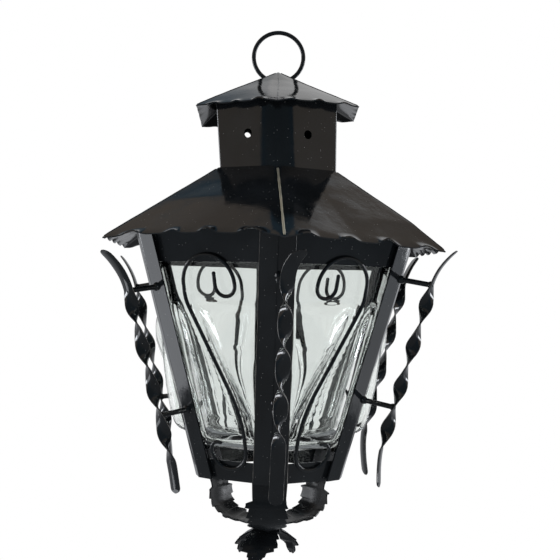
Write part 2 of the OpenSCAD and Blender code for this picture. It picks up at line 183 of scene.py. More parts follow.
def loft(bm, loops, closed=True, capped=True):
    """Pulls a loop of vertices through all the loops, each with as many points, and caps both ends."""
    ring = [bm.verts.new(p) for p in loops[0]]
    count = len(ring)
    pairs = range(count if closed else count - 1)
    edges = [bm.edges.new((ring[k], ring[(k + 1) % count])) for k in pairs]
    first = list(edges)
    for loop in loops[1:]:
        made = bmesh.ops.extrude_edge_only(bm, edges=edges)["geom"]
        fresh = {g for g in made if isinstance(g, bmesh.types.BMVert)}
        ring = [next(e.other_vert(v) for e in v.link_edges if e.other_vert(v) in fresh) for v in ring]
        edges = [g for g in made if isinstance(g, bmesh.types.BMEdge) and all(v in fresh for v in g.verts)]
        for v, p in zip(ring, loop):
            v.co = p
    if capped:
        for end in (first, edges):
            bmesh.ops.contextual_create(bm, geom=end)
    return ring


def finished(name, bm, body, material, stands_for=(), sharp=35):
    """Turns a bmesh in millimetres into a piece that rides on a body."""
    bmesh.ops.recalc_face_normals(bm, faces=bm.faces)
    bmesh.ops.scale(bm, vec=(MM, MM, MM), verts=bm.verts)
    mesh = bpy.data.meshes.new(name)
    bm.to_mesh(mesh)
    bm.free()
    mesh.shade_smooth()
    mesh.set_sharp_from_angle(angle=math.radians(sharp))
    piece = bpy.data.objects.new(name, mesh)
    bpy.context.scene.collection.objects.link(piece)
    mesh.materials.append(material)
    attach(piece, body)
    if stands_for:
        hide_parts(*stands_for)
    return piece


def tube(bm, path, radius, sides=8):
    """A round bead along a path; radius is a function of the share of the way along."""
    loops = []
    for k, p in enumerate(path):
        ahead = (path[min(k + 1, len(path) - 1)] - path[max(k - 1, 0)]).normalized()
        across = ahead.cross(Vector((0.31, 0.17, 0.93))).normalized()
        over = ahead.cross(across)
        r = radius(k / (len(path) - 1))
        angles = [2 * math.pi * j / sides for j in range(sides)]
        loops.append([p + (across * math.cos(a) + over * math.sin(a)) * r for a in angles])
    loft(bm, loops)


def blob(bm, centre, size, seed, subdivisions=2):
    """A small uneven lump, such as weld metal or a bubble."""
    made = bmesh.ops.create_icosphere(bm, subdivisions=subdivisions, radius=1.0)["verts"]
    for v in made:
        n = v.co.copy()
        lump = Vector(n[k] * size[k] * (1 + 0.28 * wobble(n, 0.8, seed + k)) for k in range(3))
        v.co = Vector(centre) + lump


# ---- materials ----


class Nodes:
    """A new material's nodes, with short ways to add and join them."""

    def __init__(self, name):
        self.material = bpy.data.materials.new(name)
        self.material.use_nodes = True
        self.tree = self.material.node_tree
        self.shader = self.tree.nodes["Principled BSDF"]
        self.place = self.add("ShaderNodeTexCoord").outputs["Object"]

    def add(self, kind, **values):
        node = self.tree.nodes.new(kind)
        for key, value in values.items():
            if key in node.inputs:
                node.inputs[key].default_value = value
            else:
                setattr(node, key, value)
        return node

    def join(self, out, into):
        self.tree.links.new(out, into)

    def noise(self, scale, detail=3.0, stretch=(1, 1, 1), roughness=0.5):
        mapping = self.add("ShaderNodeMapping", Scale=stretch)
        self.join(self.place, mapping.inputs["Vector"])
        node = self.add("ShaderNodeTexNoise", Scale=scale, Detail=detail, Roughness=roughness)
        self.join(mapping.outputs["Vector"], node.inputs["Vector"])
        return node.outputs["Fac"]

    def ramp(self, out, low, high, dark, light):
        """Values below low give dark, above high give light."""
        node = self.add("ShaderNodeMapRange")
        for key, value in zip(("From Min", "From Max", "To Min", "To Max"), (low, high, dark, light)):
            node.inputs[key].default_value = value
        self.join(out, node.inputs["Value"])
        return node.outputs["Result"]

    def mix(self, share, a, b):
        """A colour between a and b, each a colour or an output."""
        node = self.add("ShaderNodeMix", data_type="RGBA")
        self.join(share, node.inputs["Factor"])
        for value, socket in ((a, node.inputs[6]), (b, node.inputs[7])):
            if isinstance(value, bpy.types.NodeSocket):
                self.join(value, socket)
            else:
                socket.default_value = (*value, 1)
        return node.outputs[2]

    def bumps(self, *layers):
        """Stacks bumps, each (height output, distance in metres, strength)."""
        normal = None
        for height, distance, strength in layers:
            node = self.add("ShaderNodeBump", Distance=distance, Strength=strength)
            self.join(height, node.inputs["Height"])
            if normal:
                self.join(normal, node.inputs["Normal"])
            normal = node.outputs["Normal"]
        self.join(normal, self.shader.inputs["Normal"])


def set_shader(nodes, **values):
    for key, value in values.items():
        nodes.shader.inputs[key.replace("_", " ")].default_value = value


def paint(name, rough_shift=0.0, streak=(1, 1, 1), gloss=0.5):
    """Brushed black gloss paint with specks of dust under it."""
    looks = bpy.context.scene.lantern_paint
    n = Nodes(name)
    base = tuple(looks.black)
    # Paler patches, and a grey speck of dust in every third cell or so
    patches = n.noise(28, 4)
    worn = n.mix(n.ramp(patches, 0.42, 0.7, 0, 1), base, tuple(c * 1.7 for c in base))
    specks = n.add("ShaderNodeTexVoronoi", Scale=390.0)
    n.join(n.place, specks.inputs["Vector"])
    few = n.add("ShaderNodeSeparateColor")
    n.join(specks.outputs["Color"], few.inputs[0])
    chosen = n.ramp(few.outputs[0], 0.62, 0.63, 0, 1)
    small = n.ramp(specks.outputs["Distance"], 0.05, 0.1, 0.8, 0)
    both = n.add("ShaderNodeMath", operation="MULTIPLY")
    n.join(chosen, both.inputs[0])
    n.join(small, both.inputs[1])
    n.join(n.mix(both.outputs[0], worn, (0.42, 0.42, 0.42)), n.shader.inputs["Base Color"])
    rough = looks.rough + rough_shift
    n.join(n.ramp(n.noise(90, 5), 0.3, 0.72, rough - 0.05, rough + 0.09), n.shader.inputs["Roughness"])
    n.bumps(
        (n.noise(22, 2), 0.0014, 0.2),
        (n.noise(240, 3, streak), 0.00014, 0.3),
        (n.noise(1500, 2), 0.00004, 0.3),
    )
    set_shader(n, IOR=1.5, Specular_IOR_Level=gloss)
    return n.material


def glass(name):
    looks = bpy.context.scene.lantern_glass
    n = Nodes(name)
    set_shader(n, Transmission_Weight=1.0, IOR=1.48, Roughness=0.0, Base_Color=(*looks.tint, 1))
    n.bumps((n.noise(30, 1, (1, 1, 0.4)), 0.0014, 0.2))
    return n.material


def metal(name, colour, rough, flecks):
    n = Nodes(name)
    grain = n.noise(700, 4, flecks)
    n.join(n.mix(grain, tuple(c * 0.72 for c in colour), colour), n.shader.inputs["Base Color"])
    n.join(n.ramp(n.noise(120, 4), 0.3, 0.7, rough - 0.08, rough + 0.1), n.shader.inputs["Roughness"])
    n.bumps((grain, 0.00005, 0.4))
    set_shader(n, Metallic=1.0)
    return n.material


def porcelain():
    n = Nodes("glazed porcelain")
    n.join(n.mix(n.noise(60, 3), (0.74, 0.72, 0.66), (0.86, 0.84, 0.8)), n.shader.inputs["Base Color"])
    n.join(n.ramp(n.noise(240, 3), 0.3, 0.7, 0.1, 0.22), n.shader.inputs["Roughness"])
    n.bumps((n.noise(180, 2), 0.0002, 0.3))
    return n.material


def named(name, make, *args):
    """The material of that name, made on first use."""
    return bpy.data.materials.get(name) or make(name, *args)


def sheet_paint():
    return named("black paint on sheet", paint)


def strip_paint():
    return named("black paint on strip", paint, -0.04, (1, 1, 0.35))


def weld_paint():
    return named("black paint on welds", paint, 0.08)


def bare_iron_and_painted_highlight(name):
    """Iron showing where the paint has worn off an edge, and, in its paler patches, a painted highlight
    where the edge catches light.
    """
    n = Nodes(name)
    # Painted highlight: the paler brown-grey in patches along the line stands for light caught by the edge,
    # on top of the bare iron of wear
    bare = n.ramp(n.noise(160, 4), 0.35, 0.65, 0, 1)
    n.join(n.mix(bare, (0.02, 0.02, 0.021), (0.2, 0.19, 0.175)), n.shader.inputs["Base Color"])
    n.join(n.ramp(n.noise(300, 3), 0.3, 0.7, 0.35, 0.6), n.shader.inputs["Roughness"])
    n.bumps((n.noise(900, 2), 0.00005, 0.4))
    set_shader(n, IOR=1.8)
    return n.material


def worn(name, paths):
    """A thin line along each path, coming and going: worn bare iron and a painted highlight along the edge.
    """
    bm = bmesh.new()
    for j, path in enumerate(paths):
        tube(bm, path, lambda t, j=j: EDGE_R * (0.7 + 0.45 * noise.noise(Vector((t * 16, j * 1.7, 0.3)))), 5)
    finished(name, bm, "lantern", named("worn edge", bare_iron_and_painted_highlight), sharp=60)


# ---- roof, cap and chimney ----


def off_axis(p, centre, axis):
    """How a point stands off from an axis, square to it."""
    return (p - centre) - (p - centre).dot(axis) * axis


def panelled(bm, columns, rows, at, holes=()):
    """Adds a sheet; at(u, v) places it, u -1 to 1 and v 0 to 1. A hole is its centre, axis and radius."""
    fresh = bmesh.ops.create_grid(bm, x_segments=columns, y_segments=rows, size=1)["verts"]
    for v in fresh:
        v.co = at(v.co.x, (v.co.y + 1) / 2)
    for centre, axis, radius in holes:
        near = {f for v in fresh if v.is_valid for f in v.link_faces}
        cut = [f for f in near if off_axis(f.calc_center_median(), centre, axis).length < radius]
        cut.sort(key=lambda f: f.index)
        rim = {v for f in cut for v in f.verts}
        bmesh.ops.delete(bm, geom=cut, context="FACES")
        for v in rim:
            if v.is_valid:
                away = off_axis(v.co, centre, axis)
                v.co += away * (radius / away.length - 1)


def rounded(from_ridge, reach, half_turn):
    """How far a sheet sinks beside a ridge that is rounded over this reach."""
    return 0.5 * math.tan(half_turn) * max(0.0, reach - from_ridge) ** 2 / reach


def solid(bm, thick):
    """Welds the sheets of a piece and gives them their thickness, inwards."""
    bmesh.ops.remove_doubles(bm, verts=bm.verts, dist=0.01)
    bmesh.ops.recalc_face_normals(bm, faces=bm.faces)
    # Outside is away from the axis and upwards
    outward = 0
    for f in bm.faces:
        x, y, _ = f.calc_center_median()
        outward += f.normal.dot(Vector((x, y, 40)))
    if outward < 0:
        bmesh.ops.reverse_faces(bm, faces=bm.faces)
    bmesh.ops.solidify(bm, geom=bm.faces[:], thickness=thick)


# How far each corner of an eave is bent up and to the right, and how far each face's middle is bowed up
ROOF_BENT = {
    "up": [2.4, -3.1, -1.5, 0.5, 0.2, 0.8],
    "right": [3.2, -1.5, -0.6, 0, -1.5, -0.9],
    "bow": [0.5, 0, 0, 0, 0, 2.6],
}
CAP_BENT = {
    "up": [0, 2.1, 3.3, -1.5, -5.2, -0.3],
    "right": [-1.9, -1.1, 2.0, 1, 1.3, -0.2],
    "bow": [0.6, 0, 0, 0, 0.6, 0.3],
}
# Inside this radius, round the ring's holes, the cap is neither bent nor dented
CAP_STIFF_R = 24.0
# How far the chimney's top and foot stand to the right, its radius at the top, and the levels of its ends
CHIMNEY_SHIFT = (-1.4, 1.3)
CHIMNEY_TOP_R = 53.3
CHIMNEY_FOOT_Z, CHIMNEY_TOP_Z = (corner.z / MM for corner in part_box("chimney"))
# How far a fold or a ridge is rounded to each side: softly at the front, sharp at the other five
SOFT_FOLD = 16.5
SOFT_RIDGE = 10.0
SHARP_FOLD = 1.2
# The air holes in the chimney, one in each face: radius and level
VENT_R = 3.4
VENT_Z = {**dict.fromkeys(FACES, -83.8), "back_left": -74.9}
# The two holes that the ring hangs in: their place, their radius, and the ring's slant through them
RING_HOLE_X = 9.834
RING_HOLE_Z = -35.149
RING_HOLE_R = 3.7
RING_SLANT = (0.473, 0.881)
RING_HOLES = {
    side: [(
        Vector((hand * RING_HOLE_X, 0, RING_HOLE_Z)),
        Vector((hand * RING_SLANT[0], 0, RING_SLANT[1])).normalized(),
        RING_HOLE_R,
    )]
    for side, hand in (("right", 1), ("left", -1))
}
# Columns and rows of a panel of the roof or cap, and the share of its rows above the eave's curl
PANEL_GRID = (96, 54)
FLAT_ROWS = 0.72
# Dents in those panels: how deep and how long they are, and over what distance they fade in
DENT = 0.45
DENT_LENGTH = 34
DENT_FADE = 14


def bent(p, bends, eave_r, inner_r, rest_r):
    """A sheet's point, moved with its eave, which bends up from inner_r out or down from rest_r out."""
    around = (math.degrees(math.atan2(p.x, -p.y)) / 60) % SIDES
    k = int(around) % SIDES
    share = around - int(around)
    reach = math.hypot(p.x, p.y) * math.cos(math.radians(60 * share - 30)) / FLAT
    out, over = (max(0.0, (reach - r) / (eave_r - r)) for r in (inner_r, rest_r))
    after = (k + 1) % SIDES
    up, right = (bends[key][k] * (1 - share) + bends[key][after] * share for key in ("up", "right"))
    bow = bends["bow"][k] * math.sin(math.pi * share) * min(1.0, 2 * out)
    return p + Vector((right * out, 0, up * (over if up < 0 else out) + bow))


def fold_reach(face, u, soft):
    """How far the fold beside a point is rounded; the last face and the first meet at the front fold."""
    front = (face == 0 and u < 0) or (face == SIDES - 1 and u > 0)
    return soft if front else SHARP_FOLD


class Eaves:
    """A six-sided roof of sheet: its levels, its rippled and bent eave, and how it is dented by hand.

    The middle of a face is at distance top_a and level top_z at its top, and low_a and low_z at its eave.
    Each face has this number of ripples, curled up by curl over the last reach of the sheet. Inside inner_r
    it is neither bent nor dented, and inside rest_r, where it rests on what is below, it isn't bent down.
    """

    def __init__(self, top_a, top_z, low_a, low_z, ripples, curl, reach, bends, inner_r, rest_r):
        self.top_a, self.top_z, self.low_a, self.low_z = top_a, top_z, low_a, low_z
        self.ripples, self.curl, self.reach = ripples, curl, reach
        self.bends, self.inner_r, self.rest_r = bends, inner_r, rest_r
        self.slope = (top_z - low_z) / (low_a - top_a)
        tilt = math.atan(self.slope)
        self.half_turn = math.acos(math.sin(tilt) ** 2 * 0.5 + math.cos(tilt) ** 2) / 2

    def at(self, face, u, v):
        """The sheet's outside: u from one ridge to the next, v from the top to the eave."""
        start = self.low_a - self.reach
        if v < FLAT_ROWS:
            a = self.top_a + (start - self.top_a) * v / FLAT_ROWS
        else:
            a = start + self.reach * (v - FLAT_ROWS) / (1 - FLAT_ROWS)
        edge = max(0.0, (a - start) / self.reach)
        side = a * MITRE
        sink = rounded(side * (1 - abs(u)), min(fold_reach(face, u, SOFT_RIDGE), side), self.half_turn)
        ripple = self.curl * (self.crest(face, u) - 0.12) * edge**2.7
        z = self.top_z - self.slope * (a - self.top_a) + ripple - sink
        p = turned((u * side, -a, z), 60 * face + 30)
        fade = min(1.0, max(0.0, (math.hypot(p.x, p.y) - self.inner_r) / DENT_FADE))
        p.z += DENT * fade * wobble((p.x, p.y, 0), DENT_LENGTH, 4.2)
        return bent(p, self.bends, self.low_a / FLAT, self.inner_r, self.rest_r)

    def crest(self, face, u):
        """How high the eave's ripples stand at u, about 0 to 1: narrow crests, not quite even."""
        if u in (-1, 1):
            return 0
        share = (u + 1) / 2
        waves = self.ripples * (share + 0.025 * math.sin(2 * math.pi * share + 1.9 * face))
        even = 0.5 - 0.5 * math.cos(2 * math.pi * (waves - 0.12 * math.sin(2 * math.pi * share)))
        return even**2.6 * (0.85 + 0.9 * noise.noise(Vector((waves * 0.9, face * 2.7, self.top_z))))

    def ridge(self, corner, v):
        return self.at(corner, -1, v)


def main_roof(sizes):
    return Eaves(
        top_a=CHIMNEY_R * FLAT + 0.02,
        top_z=ROOF_TOP_Z,
        low_a=ROOF_R * FLAT,
        low_z=EAVE_Z,
        ripples=4,
        curl=sizes.ripple / MM,
        reach=7.5,
        bends=ROOF_BENT,
        inner_r=CHIMNEY_R,
        rest_r=CAGE_TOP_R + 2,
    )


def cap_roof(sizes):
    tip_a = 0.6
    slope = (PEAK_Z - CAP_EAVE_Z) / (CAP_R * FLAT)
    return Eaves(
        top_a=tip_a,
        top_z=PEAK_Z - tip_a * slope,
        low_a=CAP_R * FLAT,
        low_z=CAP_EAVE_Z,
        ripples=3,
        curl=0.4 * sizes.ripple / MM,
        reach=6.0,
        bends=CAP_BENT,
        inner_r=CAP_STIFF_R,
        rest_r=CHIMNEY_TOP_R + 2,
    )


class LANTERN_OT_roofs(bpy.types.Operator):
    """Cap and roof panels: sheet with eaves that curl up in ripples, dented a little by hand"""

    bl_idname = "lantern.roofs"
    bl_label = "Cap and roof"

    def execute(self, context):
        sizes = context.scene.lantern_sheet
        roof, cap = main_roof(sizes), cap_roof(sizes)
        for face, side in enumerate(FACES):
            for made, name, holes in ((roof, "roof", ()), (cap, "cap", RING_HOLES.get(side, ()))):
                bm = bmesh.new()
                panelled(bm, *PANEL_GRID, lambda u, v, made=made, face=face: made.at(face, u, v), holes)
                solid(bm, sizes.thick / MM)
                panel = [f"{name}_panel_{side}"]
                finished(f"{name}_sheet_{side}", bm, "lantern", sheet_paint(), panel)
        return {"FINISHED"}


class LANTERN_OT_chimney(bpy.types.Operator):
    """Chimney: sheet bent round six folds, softest at the front, with an air hole in each face"""

    bl_idname = "lantern.chimney"
    bl_label = "Chimney"

    def at(self, face, u, v):
        """The chimney's outside: u from one fold to the next, v from its foot to its top."""
        z = CHIMNEY_FOOT_Z + (CHIMNEY_TOP_Z - CHIMNEY_FOOT_Z) * v
        radius = CHIMNEY_R + (CHIMNEY_TOP_R - CHIMNEY_R) * (z - ROOF_TOP_Z) / (CHIMNEY_TOP_Z - ROOF_TOP_Z)
        side = radius / 2
        # u crowds towards the folds, where the sheet turns
        across = side * (1.35 * u - 0.35 * u**3 if abs(u) < 1 else u)
        sink = rounded(side - abs(across), fold_reach(face, u, SOFT_FOLD), math.radians(30))
        p = turned((across, sink - radius * FLAT, z), 60 * face + 30)
        shift = CHIMNEY_SHIFT[0] * v + CHIMNEY_SHIFT[1] * max(0.0, 1 - v)
        return p + Vector((shift, 0.3 * wobble((p.x, p.y, z), 30, 2.0), 0))

    def execute(self, context):
        thick = context.scene.lantern_sheet.thick / MM
        bm = bmesh.new()
        for face, side in enumerate(FACES):
            out = turned((0, -1, 0), 60 * face + 30)
            up = (VENT_Z[side] - CHIMNEY_FOOT_Z) / (CHIMNEY_TOP_Z - CHIMNEY_FOOT_Z)
            middle = self.at(face, 0.0, up)
            panelled(bm, 44, 44, lambda u, v, face=face: self.at(face, u, v), [(middle, out, VENT_R)])
        solid(bm, thick)
        finished("chimney_sheet", bm, "lantern", sheet_paint(), ["chimney"])
        return {"FINISHED"}


class LANTERN_OT_ridges(bpy.types.Operator):
    """Solder along the ridges of roof and cap: bare on the roof's front ridge, painted on the others"""

    bl_idname = "lantern.ridges"
    bl_label = "Soldered ridges"

    def bead(self, name, made, corners, radius, material):
        """A bead down some of a roof's ridges, uneven along its length."""
        bm = bmesh.new()
        for i in corners:
            path = [made.ridge(i, 0.02 + 0.93 * k / 40) for k in range(41)]
            tube(bm, path, lambda t, i=i: radius * (1 + 0.3 * noise.noise(Vector((t * 14, i * 3.1, 0.4)))))
        finished(name, bm, "lantern", material, sharp=60)

    def execute(self, context):
        sizes = context.scene.lantern_sheet
        roof, cap = main_roof(sizes), cap_roof(sizes)
        solder = named("bare solder", metal, (0.82, 0.82, 0.7), 0.5, (1, 1, 2))
        self.bead("roof_front_solder", roof, [0], 0.85, solder)
        self.bead("roof_ridges", roof, range(1, SIDES), 0.45, weld_paint())
        self.bead("cap_ridges", cap, range(SIDES), 0.45, weld_paint())
        return {"FINISHED"}


# ---- posts and ribbons ----

# Where a post's flange has its points, as shares of its width, and how far from the fold it sways
FLANGE_POINTS = (1, 0.97, 0.6, 0.25, 0)
SWAY_FROM = 9


class LANTERN_OT_posts(bpy.types.Operator):
    """Corner posts: folded strip with a small round at the fold"""

    bl_idname = "lantern.posts"
    bl_label = "Corner posts"

    def section(self, r, z, sizes):
        """A post's section where its corner is at radius r: its outside, then its inside back again."""
        flange, fold = sizes.flange / MM, sizes.fold_r / MM
        plate = sizes.strip / MM * math.hypot(1, FLAT * LEAN)
        c, b = math.cos(FLANGE_BACK), math.sin(FLANGE_BACK)
        start = fold * math.tan(FLANGE_BACK)
        across = [start + (flange - start) * t for t in FLANGE_POINTS]
        outer = [Vector((-w * c, w * b - r, z)) for w in across]
        for share in (-0.67, -0.33, 0, 0.33, 0.67):
            turn = share * FLANGE_BACK
            outer.append(Vector((fold * math.sin(turn), fold / c - r - fold * math.cos(turn), z)))
        outer += [Vector((w * c, w * b - r, z)) for w in reversed(across)]
        right = [Vector((flange * w * c - plate * b, flange * w * b + plate * c - r, z)) for w in (1, 0.5)]
        left = [Vector((-p.x, p.y, z)) for p in reversed(right)]
        return outer + [*right, Vector((0, plate / FLAT - r, z)), *left]

    def execute(self, context):
        sizes = context.scene.lantern_sheet
        rows = 46
        for i, corner in enumerate(CORNERS):
            top_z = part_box("post_" + corner)[1].z / MM
            loops = []
            for k in range(rows + 1):
                z = FOOT_Z + (top_z - FOOT_Z) * k / rows
                sway = 0.25 * wobble((0, 0, z), 40, 3.0 + i)
                points = self.section(cage_r(z), z, sizes)
                swayed = [p + Vector((sway * (abs(p.x) > SWAY_FROM), 0, 0)) for p in points]
                loops.append([turned(p, 60 * i) for p in swayed])
            bm = bmesh.new()
            loft(bm, loops)
            post = ["post_" + corner]
            finished("folded_post_" + corner, bm, "lantern", strip_paint(), post, sharp=28)
            if corner == "front":
                # The front post's two flange edges get a line of worn bare iron and painted highlight
                edges = (0, 2 * len(FLANGE_POINTS) + 4)
                worn("worn_and_highlight_post_edges", [[loop[end] for loop in loops] for end in edges])
        return {"FINISHED"}


# How each ribbon was fitted, from the front corner round to the right. Its place: how far it is up its post
# and out from it, how far to the side at the lower and upper stud, and the degrees that its flat is turned
RIBBON_RISE = [0, 0, -0.5, -4, -5.7, -10.9]
RIBBON_OUT = [0, -0.5, -3.5, 0, 0.5, -4.2]
RIBBON_SIDE = [(4.7, 6.4), (0, 0), (0, 0), (0, 0), (0, 0), (5.3, 5.3)]
RIBBON_FACES = [0, 10, -12, 0, 23, 15]
# Its twist: 1 for one way and -1 for the other, the length of a half turn, and where it starts
RIBBON_HAND = [1, -1, 1, 1, 1, 1]
RIBBON_HALF_TURN = [31.0, 31.9, 31.5, 31.5, 31.5, 32.4]
RIBBON_START = [1.1, 0, 0, 0, 0, 0]
HALF_TURNS = 4.0
# Its ends: how far up the post they are, how far they bow out, and how far the tip leans to the side
RIBBON_TIP = [185.4, 191.5, 190.5, 192, 192, 195.6]
RIBBON_TAIL = [-1, 7.5, 2, 4, 5, 8]
TIP_BOW = [8, 10.5, 7.5, 8, 8.5, 12]
TAIL_BOW = [3, 6.9, 12.7, 6, 6, 2.5]
TIP_SIDE = [8.5, 0, 0, 0, 0, 0]
END_ROUND = 4
# Its studs: how far to the side they are, and how they fall towards the post
STUD_SIDE = [1.2, 0, 0, 0, 0, 5.3]
STUD_FALL = math.radians(7.9)


def up_post(i):
    """The frame of a post: Z up its corner, -Y straight out from it."""
    return (
        Matrix.Rotation(math.radians(60 * i), 4, "Z")
        @ Matrix.Translation((0, -CAGE_FOOT_R, FOOT_Z))
        @ Matrix.Rotation(POST_LEAN, 4, "X")
    )


class LANTERN_OT_ribbons(bpy.types.Operator):
    """Twisted ribbons: flat at both studs, four half turns below the upper one, tips curled out"""

    bl_idname = "lantern.ribbons"
    bl_label = "Twisted ribbons"

    def section(self, i, s, sizes, strip):
        """A ribbon's section at a height up its post, in the ribbon's own frame."""
        low, high = sizes.stud_low / MM, sizes.stud_high / MM
        tip, tail = RIBBON_TIP[i], RIBBON_TAIL[i]
        tail_from = low - (high - low) / 3
        # Eased so that the flats linger and the edges pass quickly
        turns = min(HALF_TURNS, max(0.0, (high + RIBBON_START[i] - s) / RIBBON_HALF_TURN[i]))
        eased = turns - 0.06 * math.sin(2 * math.pi * turns)
        angle = math.pi * RIBBON_HAND[i] * eased + math.radians(RIBBON_FACES[i])
        curl = max(0.0, (s - high) / (tip - high)) ** 2
        bow = TIP_BOW[i] * curl + TAIL_BOW[i] * max(0.0, (tail_from - s) / (tail_from - tail)) ** 1.5
        near, far = RIBBON_SIDE[i]
        side = near + (far - near) * (s - low) / (high - low) + TIP_SIDE[i] * curl
        from_end = min(tip - s, s - tail)
        w = sizes.width / MM / 2
        if from_end < END_ROUND:
            w *= math.sqrt(max(0.04, 1 - (1 - from_end / END_ROUND) ** 2))
        w *= 1 + 0.035 * noise.noise(Vector((s / 9, i * 2.3, 0)))
        h = strip / 2
        # The long edges are thinned, as rolled strip is
        soft = min(0.45, w * 0.4)
        points = [(w, h * 0.4), (w - soft, h), (0, h), (soft - w, h), (-w, h * 0.4)]
        points += [(-x, -y) for x, y in points]
        c, b = math.cos(angle), math.sin(angle)
        return [Vector((x * c - y * b + side, x * b + y * c - bow, s)) for x, y in points]

    def execute(self, context):
        sizes = context.scene.lantern_ribbon
        strip = context.scene.lantern_sheet.strip / MM
        steps = 170
        rims = []
        for i, corner in enumerate(CORNERS):
            place = up_post(i) @ Matrix.Translation((0, -sizes.gap / MM - RIBBON_OUT[i], RIBBON_RISE[i]))
            tip, tail = RIBBON_TIP[i], RIBBON_TAIL[i]
            loops = []
            for k in range(steps + 1):
                s = tail + (tip - tail) * k / steps
                loops.append([place @ p for p in self.section(i, s, sizes, strip)])
            bm = bmesh.new()
            loft(bm, loops)
            ribbon = ["ribbon_" + corner]
            finished("twisted_ribbon_" + corner, bm, "lantern", strip_paint(), ribbon, sharp=40)
            # Both long rims of each ribbon get a line of worn bare iron and painted highlight
            rims += [[loop[edge] for loop in loops[3:-3:2]] for edge in (0, 4)]
        worn("worn_and_highlight_ribbon_edges", rims)
        return {"FINISHED"}


# ---- jar ----

# Where a scroll's stem runs over the jar: [height, distance to the side]
STEM = [
    [-400, 13.1], [-313.2, 13.1], [-295.5, 11.4], [-275.4, 5.2],
    [-214.8, -21.4], [-203.5, -23.8], [0, -23.8],
]
# The jar's share of its full swell, and of its full width where its foot is rounded in: [height, share]
SWELL = [
    [-320, 0], [-312.3, 0.02], [-310.5, 0.55], [-307.5, 0.88], [-302, 1], [-262, 1],
    [-245, 0.9], [-232, 0.76], [-222, 0.52], [-214, 0.2], [-209, 0.03], [-190, 0],
]
FOOT_ROUND = [[-320, 0.84], [-318.6, 0.91], [-316.5, 0.955], [-313.5, 0.985], [-310, 1], [0, 1]]
JAR_FOOT_Z = -319.3
JAR_TOP_Z = -177.3
# How far the jar keeps off the inside of the cage, the posts' edges and the middle of a scroll's stem
JAR_GAP = 0.4
EDGE_GAP = 1.4
WIRE_GAP = 2.6
# How far along a face its corner is rounded, and how far in
CORNER_ROUND = 7
CORNER_IN = 1.8
# Depth of the waves in the jar's outside and inside
OUTER_WAVES = 0.13
INNER_WAVES = 0.2


class LANTERN_OT_jar(bpy.types.Operator):
    """Blown jar: swells out between the posts, dented along each scroll, with seeds of air in its wall"""

    bl_idname = "lantern.jar"
    bl_label = "Blown jar"

    def outline(self, z, level, inset, sizes, plate, seed, waves):
        """One loop of the jar's wall: its shape at height z, set in by inset and placed at a level."""
        flange, swelling = bpy.context.scene.lantern_sheet.flange / MM, sizes.bulge / MM
        back = 2 * plate + JAR_GAP
        rest = back - plate - JAR_GAP
        swell = smooth_line(SWELL, z)
        round_in = line(FOOT_ROUND, z)
        a = cage_a(z) - back - inset
        half = a * MITRE
        columns = 42
        out = []
        for i in range(SIDES):
            hand = -1 if i % 2 == 0 else 1
            wire = hand * line(STEM, z)
            edge = cage_r(z) / 2 - flange - EDGE_GAP
            for c in range(columns):
                x = -half + 2 * half * c / columns
                # The wall swells out through the window on each side of the stem
                y = 0.0
                for low, high in ((-edge, wire - WIRE_GAP), (wire + WIRE_GAP, edge)):
                    if low < x < high:
                        full = min(swelling + back, 0.45 * (high - low)) * swell
                        y = full * (math.sin(math.pi * (x - low) / (high - low))) ** 0.75
                # Beside the stem it lies against the stem's back, and at the cage's corners it is rounded
                near = max(0.0, 1 - abs(x - wire) / (WIRE_GAP + 2))
                y = max(y, rest * min(1, 5 * swell) * min(1, 2 * near))
                corner = max(0.0, abs(x) - (half - CORNER_ROUND)) / CORNER_ROUND
                p = Vector((x, -(a + y) + CORNER_IN * corner * corner, 0)) * round_in
                p = turned(p, 60 * i + 30)
                # Waves run down the jar, strongest where it swells
                uneven = waves * wobble((p.x, p.y, z * 0.35), 30, seed)
                uneven *= min(1, 0.25 + abs(y) / 5)
                p -= Vector((p.x, p.y, 0)).normalized() * (uneven + waves * 0.6)
                out.append(Vector((p.x, p.y, level)))
        return out

    def execute(self, context):
        scene = context.scene
        sizes = scene.lantern_glass
        wall = sizes.wall / MM
        plate = scene.lantern_sheet.strip / MM * math.hypot(1, FLAT * LEAN)
        rows = 92
        levels = [JAR_FOOT_Z + (JAR_TOP_Z - JAR_FOOT_Z) * (k / rows) ** 1.25 for k in range(rows + 1)]
        height = JAR_TOP_Z - JAR_FOOT_Z
        bottom = self.outline(JAR_FOOT_Z, JAR_FOOT_Z, 0, sizes, plate, 1.0, OUTER_WAVES)
        under = (0.12, 0.3, 0.5, 0.7, 0.86)
        loops = [[Vector((p.x * k, p.y * k, JAR_FOOT_Z + 1.2 * (1 - k))) for p in bottom] for k in under]
        outer = [self.outline(z, z, 0, sizes, plate, 1.0, OUTER_WAVES) for z in levels]
        inner = []
        for z in levels:
            level = z + wall * (JAR_TOP_Z - z) / height
            inner.append(self.outline(z, level, wall, sizes, plate, 9.0, INNER_WAVES))
        loops += outer + inner[::-1]
        for k in reversed(under):
            loops.append([Vector((p.x * k, p.y * k, p.z + 1.0 * (1 - k))) for p in inner[0]])
        bm = bmesh.new()
        loft(bm, loops)
        finished("blown_jar", bm, "lantern", named("jar glass", glass), ["glass"], sharp=180)

        bm = bmesh.new()
        chance = random.Random(4)
        for _ in range(sizes.seeds):
            row, column = chance.randrange(14, rows - 6), chance.randrange(len(bottom))
            size = 0.22 + 0.5 * chance.random() ** 3
            blob(bm, outer[row][column].lerp(inner[row][column], 0.5), (size, size, size * 1.5), row, 1)
        finished("air_seeds", bm, "lantern", named("jar glass", glass), sharp=180)
        return {"FINISHED"}


# ---- leaves and welds ----

